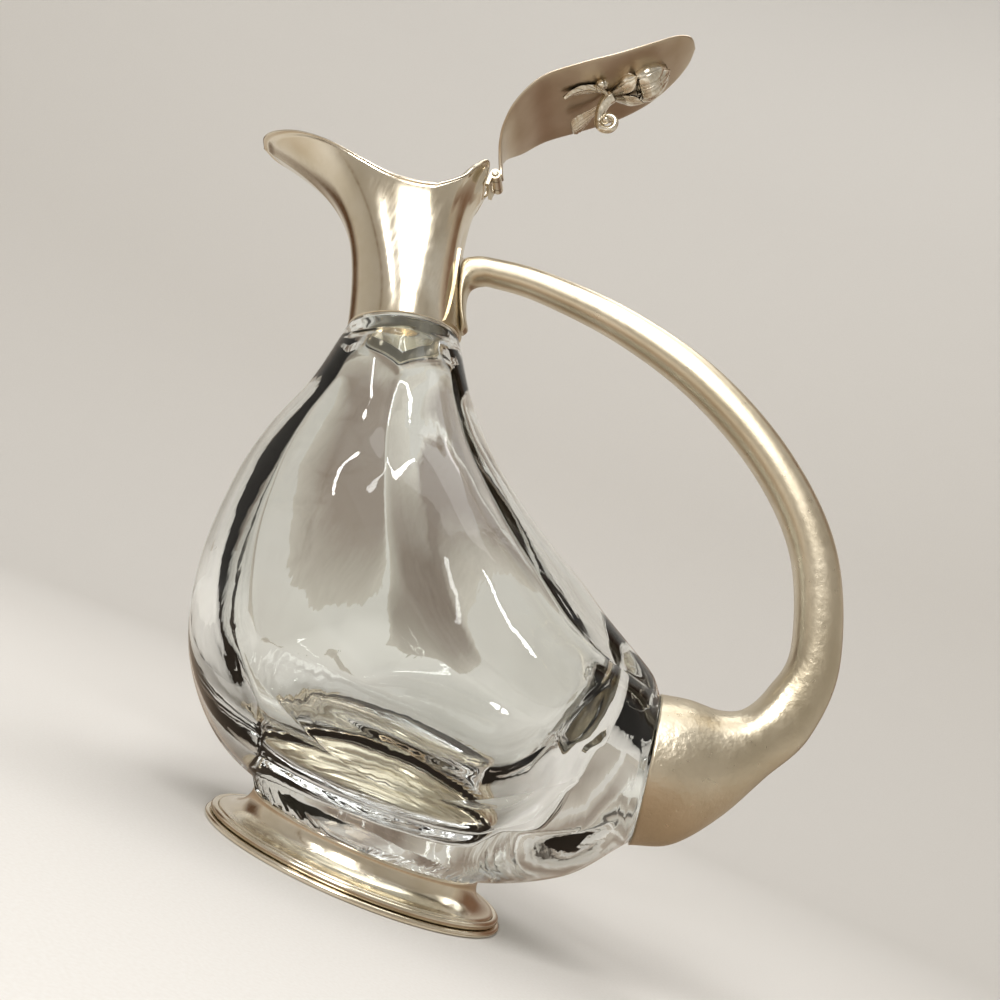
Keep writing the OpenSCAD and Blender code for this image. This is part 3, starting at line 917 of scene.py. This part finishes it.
def lid_top(x):
    """Height of the closed lid's upper face."""
    rows = np.array(LID)
    return np.interp(-x, -rows[:, 0], rows[:, 1]) + LID_GAP + LID_T


def relief(name, rows, flutes, groove):
    """Flat-backed casting along the lid: rows of x, half-width and height over the plate, with
    shallow flutes that the groove cuts in."""
    a = np.radians(np.arange(0, 181, 4))
    dip = (1 - np.abs(np.sin(flutes * a / 2))) ** 2
    f = 1 - groove * dip
    rings = []
    for x, w, h in curve(rows, 8):
        z = lid_top(x) - SINK + h * f * np.sin(a) ** 0.8
        rings.append(np.stack([np.full(len(a), x), w * f * np.cos(a), z], -1))
    return skin(name, rings, material=CHASED, recess=[0.35 + 0.65 * dip] * len(rings))


def petal(name, length, radii, spreads, veins, point):
    """Curved shell that runs along -X from its root. Radii give its distance from the axis and
    spreads its half-width in degrees, from root to tip."""
    thickness = 0.55
    v = np.linspace(-1, 1, 41)
    rings, recess = [], []
    for s in np.linspace(0, 1, 33):
        reach = np.interp(s, np.linspace(0, 1, len(radii)), radii)
        half = np.radians(np.interp(s, np.linspace(0, 1, len(spreads)), spreads))
        vein = np.clip(np.cos(math.pi * veins * v * (1.15 - 0.3 * s)), 0, 1) ** 6 * (1 - 0.5 * s)
        rim = np.exp(-(((1 - np.abs(v)) / 0.1) ** 2))
        out = reach * (1 + 0.07 * (1 - v**2)) - 0.18 * vein + 0.25 * rim
        x = -length * s * (1 - point * s * v**2)
        over, under = (
            np.stack([x, -r * np.sin(half * v), r * np.cos(half * v)], -1)
            for r in (out, out - thickness)
        )
        rings.append(np.concatenate([over, under[::-1]]))
        recess.append(np.concatenate([0.35 * vein, np.full(len(v), 0.9)]))
    return skin(name, rings, material=CHASED, recess=recess)


def ring_tree():
    """Copies of the start shape, each turned one step further round the X axis, then stretched
    and put in place as one."""
    sizes = {"Count": "Int", "First": "Float", "Step": "Float", "Stretch": "Vector"}
    tree, given = new_tree("petal_ring", {**sizes, "Place": "Vector", "Material": "Material"})
    line = add(tree, "GeometryNodeMeshLine", {"Offset": (0, 0, 0)}, {"Count": given["Count"]})
    index = add(tree, "GeometryNodeInputIndex")
    angle = add(
        tree,
        "ShaderNodeMath",
        {"operation": "MULTIPLY_ADD"},
        {0: index.outputs[0], 1: given["Step"], 2: given["First"]},
    )
    turn = add(
        tree, "FunctionNodeAxisAngleToRotation", {"Axis": (1, 0, 0)}, {"Angle": angle.outputs[0]}
    )
    copies = add(
        tree,
        "GeometryNodeInstanceOnPoints",
        links={"Points": line.outputs[0], "Instance": given["Start"], "Rotation": turn.outputs[0]},
    )
    placed = add(
        tree,
        "GeometryNodeTransform",
        links={
            "Geometry": copies.outputs[0],
            "Translation": given["Place"],
            "Scale": given["Stretch"],
        },
    )
    return finish_tree(tree, placed.outputs[0], given)


RING = ring_tree()


def petal_ring(start, count, first, step, root):
    """Ring of petals whose root lies at x = root; nothing of it goes under the lid's face."""
    place = np.array([root, 0, lid_top(root) - SINK])
    sizes = {"Count": count, "First": math.radians(first), "Step": math.radians(step)}
    sizes["Stretch"] = (1.0, 1.0, BUD_HEIGHT / BUD_WIDTH)
    sizes["Place"] = tuple(float(v) for v in place * MM)
    made = grow(start.name + "_ring", start, RING, {**sizes, "Material": CHASED})
    for v in made.data.vertices:
        v.co.z = max(v.co.z, place[2] * MM)
    return made


def make_bud():
    """Flower bud: a fluted core with two inner and three outer petals closed round it."""
    u = np.linspace(0, 1, 9)
    width = BUD_WIDTH * np.sin(np.radians(35 + 130 * u)) ** 0.7
    height = BUD_HEIGHT * np.sin(np.radians(35 + 120 * u)) ** 0.8
    core_rows = np.stack([BUD_ROOT - (BUD_LENGTH - 1) * u, 0.82 * width, 0.82 * height], -1)
    core = relief("bud_core", core_rows, 5, 0.1)
    spreads = 44 * np.sqrt(1 - np.linspace(0, 1, 21) ** 4)
    radii = np.array([7.2, 8.1, 8.5, 8.5, 8.2, 7.6, 6.7, 5.4, 3.4])
    inner = petal("inner_petal", BUD_LENGTH - 1.5, 0.9 * radii, spreads, 3, 0.06)
    outer = petal("outer_petal", BUD_LENGTH - 3, radii, 0.8 * spreads, 3, 0.1)
    inner_ring = petal_ring(inner, 2, -34, 68, BUD_ROOT - 1.5)
    outer_ring = petal_ring(outer, 3, -68, 66, BUD_ROOT - 1.5)
    return join("silver_bud", [core, inner_ring, outer_ring])


def make_calyx():
    """Cup of the flower, with three pointed sepals."""
    rows = [(-117, 2.2, 4.5), (-119.5, 4.6, 6.2), (-122.5, 6.3, 7.6), (-126.3, 7.4, 8)]
    core = relief("calyx_core", rows, 3, 0.12)
    radii = [3.2, 4.6, 6, 7.2, 7.9, 8.3, 8.7, 9.6]
    spreads = [24, 27, 29, 29, 27, 22, 14, 2]
    sepal = petal("sepal", 9.2, radii, spreads, 3, 0.05)
    return join("silver_calyx", [core, petal_ring(sepal, 3, -72, 68, -118.5)])


def leaf(name, rows, tilt, veins, fan):
    """Cast leaf: rows of x, y, height over the lid and half-width from the root to the tip. The
    veins branch off its middle, or spread from its root where it is a fan."""
    v = np.linspace(-1, 1, 41)
    across, rise = math.cos(math.radians(tilt)), math.sin(math.radians(tilt))
    path = curve(rows, 16)
    rings, recess = [], []
    for u, (x, y, h, w) in zip(np.linspace(0, 1, len(path)), path):
        if fan:
            vein = np.clip(np.cos(math.pi * veins * v), 0, 1) ** 6
        else:
            vein = np.clip(np.cos(2 * math.pi * (veins * u - np.abs(v))), 0, 1) ** 6
            vein = np.maximum(vein * np.clip(3 * np.abs(v), 0, 1), np.exp(-((v / 0.12) ** 2)))
        vein *= math.sin(math.pi * min(1, u + 0.1)) ** 0.5 if u < 0.9 else 0.5
        scallop = 1 - 0.1 * (1 - abs(math.sin(math.pi * veins * u))) ** 2
        top = 0.9 * (1 - np.abs(v) ** 1.8) - 0.25 * vein * (1 - v**2)
        side = v * w * scallop
        over, under = (
            np.stack(
                [np.full(len(v), x), y + side * across, lid_top(x) + h + lie + side * rise], -1
            )
            for lie in (top, -0.9 * (1 - v**2))
        )
        rings.append(np.concatenate([over, under[::-1]]))
        recess.append(np.concatenate([0.5 * vein, np.full(len(v), 0.6)]))
    return skin(name, rings, material=CHASED, recess=recess)


def make_tendril():
    """Stalk that curls up off the lid into a scroll, with a chased line along its near side and
    a knob at its end."""
    stalk = [
        (-117, 0, 257.2, 1.9),
        (-114.6, 0.3, 257.6, 1.9),
        (-112.1, 1.1, 258.8, 1.8),
        (-109.8, 2.1, 260.7, 1.6),
    ]
    # the scroll keeps its radius for a while, then winds in, and comes out sideways all along
    first, last, winds_from = -40, 335, 90
    curl_r, wound_in, sideways = 3.7, 2.8, 2.2
    for a in range(first, last + 1, 25):
        r = curl_r - wound_in * (max(0, a - winds_from) / (last - winds_from)) ** 1.2
        x, z = CURL[0] + r * math.cos(math.radians(a)), CURL[2] + r * math.sin(math.radians(a))
        y = CURL[1] - sideways * (a - first) / (last - first)
        stalk.append((x, y, z, 1.5 - a / 900))
    rows = curve(stalk, 10)
    run = np.gradient(rows[:, :3], axis=0)
    run /= np.linalg.norm(run, axis=1)[:, None]
    sides = 48
    q = np.arange(sides) * 2 * math.pi / sides
    line = np.exp(-((q - 1.2 * math.pi) ** 2) / 0.06)
    rings, recess = [], []
    for k, (r, t) in enumerate(zip(rows, run)):
        u = np.cross(t, (0, 1, 0))
        u /= np.linalg.norm(u)
        v = np.cross(t, u)
        share = k / len(rows)
        knob = 1.15 + 0.35 * max(0, 1 - share / 0.3) + 0.5 * math.exp(-(((1 - share) / 0.06) ** 2))
        depth = line * np.clip((0.75 - share) / 0.2, 0, 1)
        radius = r[3] * knob * (1 - 0.25 * depth)
        rings.append(r[:3] + radius[:, None] * (np.cos(q)[:, None] * u + np.sin(q)[:, None] * v))
        recess.append(depth)
    # the knob's end is rounded off
    end, t, spokes = rows[-1, :3], run[-1], rings[-1] - rows[-1, :3]
    knob_r = np.linalg.norm(spokes, axis=1).mean()
    for turn in np.radians((30, 55, 75)):
        rings.append(end + t * knob_r * math.sin(turn) + spokes * math.cos(turn))
        recess.append(0 * q)
    return skin("silver_tendril", rings, material=CHASED, recess=recess)


def make_berry():
    """Small knob with five soft lobes and a dimple on top."""
    sides, berry_r, flatness, middle_h = 60, 2.9, 0.8, 1.9
    rings, recess = [], []
    q = np.arange(sides) * 2 * math.pi / sides
    place = np.array([*BERRY, lid_top(BERRY[0]) + middle_h])
    for low in np.radians(np.linspace(-88, 88, 31)):
        lobes = (1 - np.abs(np.cos(2.5 * q))) ** 3 * math.cos(low)
        r = berry_r * (1 - 0.12 * lobes)
        dimple = 0.5 * math.exp(-(((math.pi / 2 - low) / 0.35) ** 2))
        x = r * np.cos(q) * math.cos(low)
        y = flatness * r * np.sin(q) * math.cos(low)
        z = flatness * (r - dimple) * math.sin(low)
        rings.append(place + np.stack([x, y, z], -1))
        recess.append(np.clip(lobes + dimple, 0, 1))
    return skin("silver_berry", rings, material=CHASED, recess=recess)


# The leaves from root to tip: x, y, height over the lid, half-width
NEAR_LEAF = [
    (-115.8, -1.5, 2.4, 1.2),
    (-112.5, -5.2, 1.3, 2.3),
    (-108.5, -7, 1, 3),
    (-104.5, -7.9, 0.9, 3),
    (-100.5, -8.2, 1.2, 2.2),
    (-96.6, -8.1, 2, 0.5),
]
FAR_LEAF = [
    (-114.6, 1.2, 2.9, 1.2),
    (-111, 4.3, 3, 1.5),
    (-107.5, 6.4, 3.6, 2.4),
    (-104, 8.1, 4.3, 3.7),
    (-101, 9.1, 4.9, 4.4),
    (-98.4, 9.6, 5.2, 3.4),
]
ORNAMENT = {
    "finial_bloom": make_bud(),
    "finial_calyx": make_calyx(),
    "finial_stem": make_tendril(),
    "finial_near_leaf": leaf("silver_near_leaf", NEAR_LEAF, 0, 4, False),
    "finial_far_leaf": leaf("silver_far_leaf", FAR_LEAF, 20, 5, True),
    "finial_berry": make_berry(),
}
for node, made in ORNAMENT.items():
    swing_open(made)
    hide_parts(node)
    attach(made, "lid")

# ---- nodes that keep their shape -----------------------------------------------------------

KEPT = {
    "foot_plate": POLISHED,
    "foot_cement": PLASTER,
    "neck_cement": PLASTER,
    "tail_cement": PLASTER,
    "handle_pad": SATIN,
    "hinge_bracket": SATIN,
    "hinge_pin": PIN_SILVER,
    "lid_knuckle": LID_SILVER,
}
for node, material in KEPT.items():
    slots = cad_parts[node].data.materials
    slots.clear()
    slots.append(material)

# ---- stage ---------------------------------------------------------------------------------


def make_backdrop():
    """Pale matt paper, with fibres about 1 mm long, that sweeps up into a wall all round."""
    sides, flat, bend, top = 96, 1.1, 0.6, 2.0
    arc = np.radians(np.linspace(-90, 0, 17))
    profile = [(0.001, 0.0), (flat / 2, 0.0), (flat, 0.0)]
    profile += [(flat + bend * math.cos(a), bend + bend * math.sin(a)) for a in arc]
    profile += [(flat + bend, top)]
    a = np.arange(sides) * 2 * math.pi / sides
    rings = [
        np.stack([r * np.cos(a), r * np.sin(a), np.full(sides, z)], -1) / MM for r, z in profile
    ]
    made, tree, out, place = new_material("pale_paper_sweep")
    fibres = add(tree, "ShaderNodeTexNoise", {"Scale": 900.0, "Detail": 3.0}, {"Vector": place})
    colour = blend_colours(tree, fibres.outputs["Fac"], 0.3, 0.7, "#DCD9D4", "#D8D4CE")
    paper = add(tree, "ShaderNodeBsdfPrincipled", {"Roughness": 0.9}, {"Base Color": colour})
    tree.links.new(paper.outputs[0], out.inputs["Surface"])
    return skin("paper_sweep", rings, "open", made)


def look_axes(way):
    """Right, up and back directions of something that looks along way."""
    way = way / np.linalg.norm(way)
    right = np.cross(way, (0, 0, 1))
    right /= np.linalg.norm(right)
    return [tuple(right), tuple(np.cross(right, way)), tuple(-way)]


def soft_light(name, place, aim, size, power):
    """Rectangular soft box that faces its aim, with its width and height in metres."""
    lamp = bpy.data.lights.new(name, "AREA")
    lamp.shape = "RECTANGLE"
    lamp.size, lamp.size_y = size
    lamp.energy = power
    made = bpy.data.objects.new(name, lamp)
    way = np.array(aim, float) - np.array(place, float)
    turn = Matrix(look_axes(way)).transposed().to_4x4()
    made.matrix_world = Matrix.Translation(place) @ turn
    bpy.context.scene.collection.objects.link(made)
    return made


def shade_card(name, centre, aim, size, shade, seen_in):
    """Card with soft edges that only shows as a darker band in metal, or in glass."""
    centre = np.array(centre, float)
    axes = [np.array(v) for v in look_axes(np.array(aim, float) - centre)]
    w, h = axes[0] * size[0] / 2, axes[1] * size[1] / 2
    corners = [centre + x * w + y * h for x, y in ((-1, -1), (1, -1), (1, 1), (-1, 1))]
    made, tree, out, place = new_material(name)
    shares = []
    for axis, reach in zip(axes, size):
        along = add(tree, "ShaderNodeVectorMath", {"operation": "DOT_PRODUCT", 1: axis}, {0: place})
        off = add(
            tree,
            "ShaderNodeMath",
            {"operation": "SUBTRACT", 1: float(axis @ centre)},
            {0: along.outputs["Value"]},
        )
        away = add(tree, "ShaderNodeMath", {"operation": "ABSOLUTE"}, {0: off.outputs[0]})
        shares.append(
            add(tree, "ShaderNodeMapRange", {"From Max": reach / 2}, {"Value": away.outputs[0]})
        )
    edge = add(
        tree,
        "ShaderNodeMath",
        {"operation": "MAXIMUM"},
        {0: shares[0].outputs[0], 1: shares[1].outputs[0]},
    )
    colour = blend_colours(tree, edge.outputs[0], 0.35, 1.0, shade, "#D2CCC3")
    felt = add(tree, "ShaderNodeBsdfDiffuse", links={"Color": colour})
    tree.links.new(felt.outputs[0], out.inputs["Surface"])
    card = piece(name, corners, [(0, 1, 2, 3)], made)
    card.visible_camera = card.visible_shadow = card.visible_diffuse = False
    card.visible_glossy = seen_in == "metal"
    card.visible_transmission = seen_in == "glass"
    return card


backdrop = make_backdrop()
jug = np.array([-0.01, 0, 0.14])
lid_place, neck_place = np.array([-0.1, 0, 0.32]), np.array([-0.07, 0, 0.23])
# What each card stands beside, the way to it, how far, its size and its shade
METAL_CARDS = {
    "thin_left_card": (neck_place, (-0.67, -0.7, 0.24), 0.7, (0.05, 0.8), "#6B5238"),
    "spout_card": (neck_place, (-0.85, 0.5, -0.02), 0.7, (0.5, 0.5), "#5E4635"),
    "right_card": (neck_place, (0.65, 0.25, 0.62), 0.8, (0.5, 0.7), "#8A7060"),
    "lid_card": (lid_place, (0.56, 0.78, -0.2), 0.7, (0.8, 0.6), "#7C6150"),
}
cards = [
    shade_card(name, place + reach * np.array(way), place, size, shade, "metal")
    for name, (place, way, reach, size, shade) in METAL_CARDS.items()
]
cards.append(
    shade_card("floor_card", (0, 0, 0.001), (0.001, 0, 0.5), (1.0, 1.0), "#A3917F", "metal")
)
# Where each card's middle is, its size and its shade
GLASS_CARDS = {
    "far_right_card": ((0.62, 0.44, 0.42), (0.3, 0.9), "#6A5648"),
    "far_left_card": ((-0.77, 0.24, 0.22), (0.3, 0.9), "#857265"),
    "far_top_card": ((-0.37, 0.36, 0.78), (0.3, 0.9), "#6A5648"),
    "near_right_card": ((0.71, -0.28, 0.34), (0.3, 0.9), "#6A5648"),
    "left_stripe_card": ((-0.19, 0.26, 0.19), (0.1, 0.36), "#93857A"),
    "right_stripe_card": ((-0.05, 0.26, 0.19), (0.12, 0.36), "#84756A"),
}
cards += [
    shade_card(name, centre, jug, size, shade, "glass")
    for name, (centre, size, shade) in GLASS_CARDS.items()
]

key = soft_light("key", neck_place + (0.05, -0.68, 0.56), (-0.05, 0, 0.2), (0.32, 0.8), 5.5)
edge = soft_light("edge", lid_place + (-0.31, -0.7, 0.48), (-0.05, 0, 0.25), (0.08, 0.5), 2.5)
left_glint = soft_light("left_glint", (-0.4, -0.5, 0.9), (-0.05, 0, 0.1), (0.04, 0.5), 1.5)
right_glint = soft_light("right_glint", (0.4, -0.6, 0.75), (0, 0, 0.1), (0.04, 0.4), 1.2)
soft_light("top", (0.05, 0.15, 1.5), (0, 0, 0.15), (1.2, 1.0), 5)
soft_light("wall", (0, 0.5, 1.9), (-0.3, 1.7, 0.5), (1.6, 0.5), 8)

# two lamps draw the broad highlight on the neck and the lid's edge and leave the glass alone,
# and two small ones only put the glints on the glass
for lamps, state in (((key, edge), "EXCLUDE"), ((left_glint, right_glint), "INCLUDE")):
    lit = bpy.data.collections.new("glass_" + state.lower())
    lit.objects.link(glass)
    lit.collection_objects[0].light_linking.link_state = state
    for lamp in lamps:
        lamp.light_linking.receiver_collection = lit

world = bpy.data.worlds.new("pale_room")
world.use_nodes = True
bpy.context.scene.world = world
background = world.node_tree.nodes["Background"]
background.inputs["Color"].default_value = srgb("#F3F1EE")
background.inputs["Strength"].default_value = 0.6

# ---- camera --------------------------------------------------------------------------------

# Fitted to the photograph: place in millimetres, then its right, down and forward directions
CAMERA_PLACE = (63.335, -371.954, 69.148)
CAMERA_AXES = (
    (0.91995, 0.08614, 0.38245),
    (0.35280, 0.24347, -0.90347),
    (-0.17094, 0.96607, 0.19359),
)


def make_camera():
    data = bpy.data.cameras.new("camera")
    data.sensor_width = data.lens = 36
    data.clip_start = 0.01
    camera = bpy.data.objects.new("camera", data)
    right, down, forward = (np.array(v) for v in CAMERA_AXES)
    turn = Matrix([right, -down, -forward]).transposed().to_4x4()
    camera.matrix_world = Matrix.Translation(np.array(CAMERA_PLACE) * MM) @ turn
    bpy.context.scene.collection.objects.link(camera)
    bpy.context.scene.camera = camera


make_camera()
bpy.context.scene.view_settings.view_transform = "Standard"
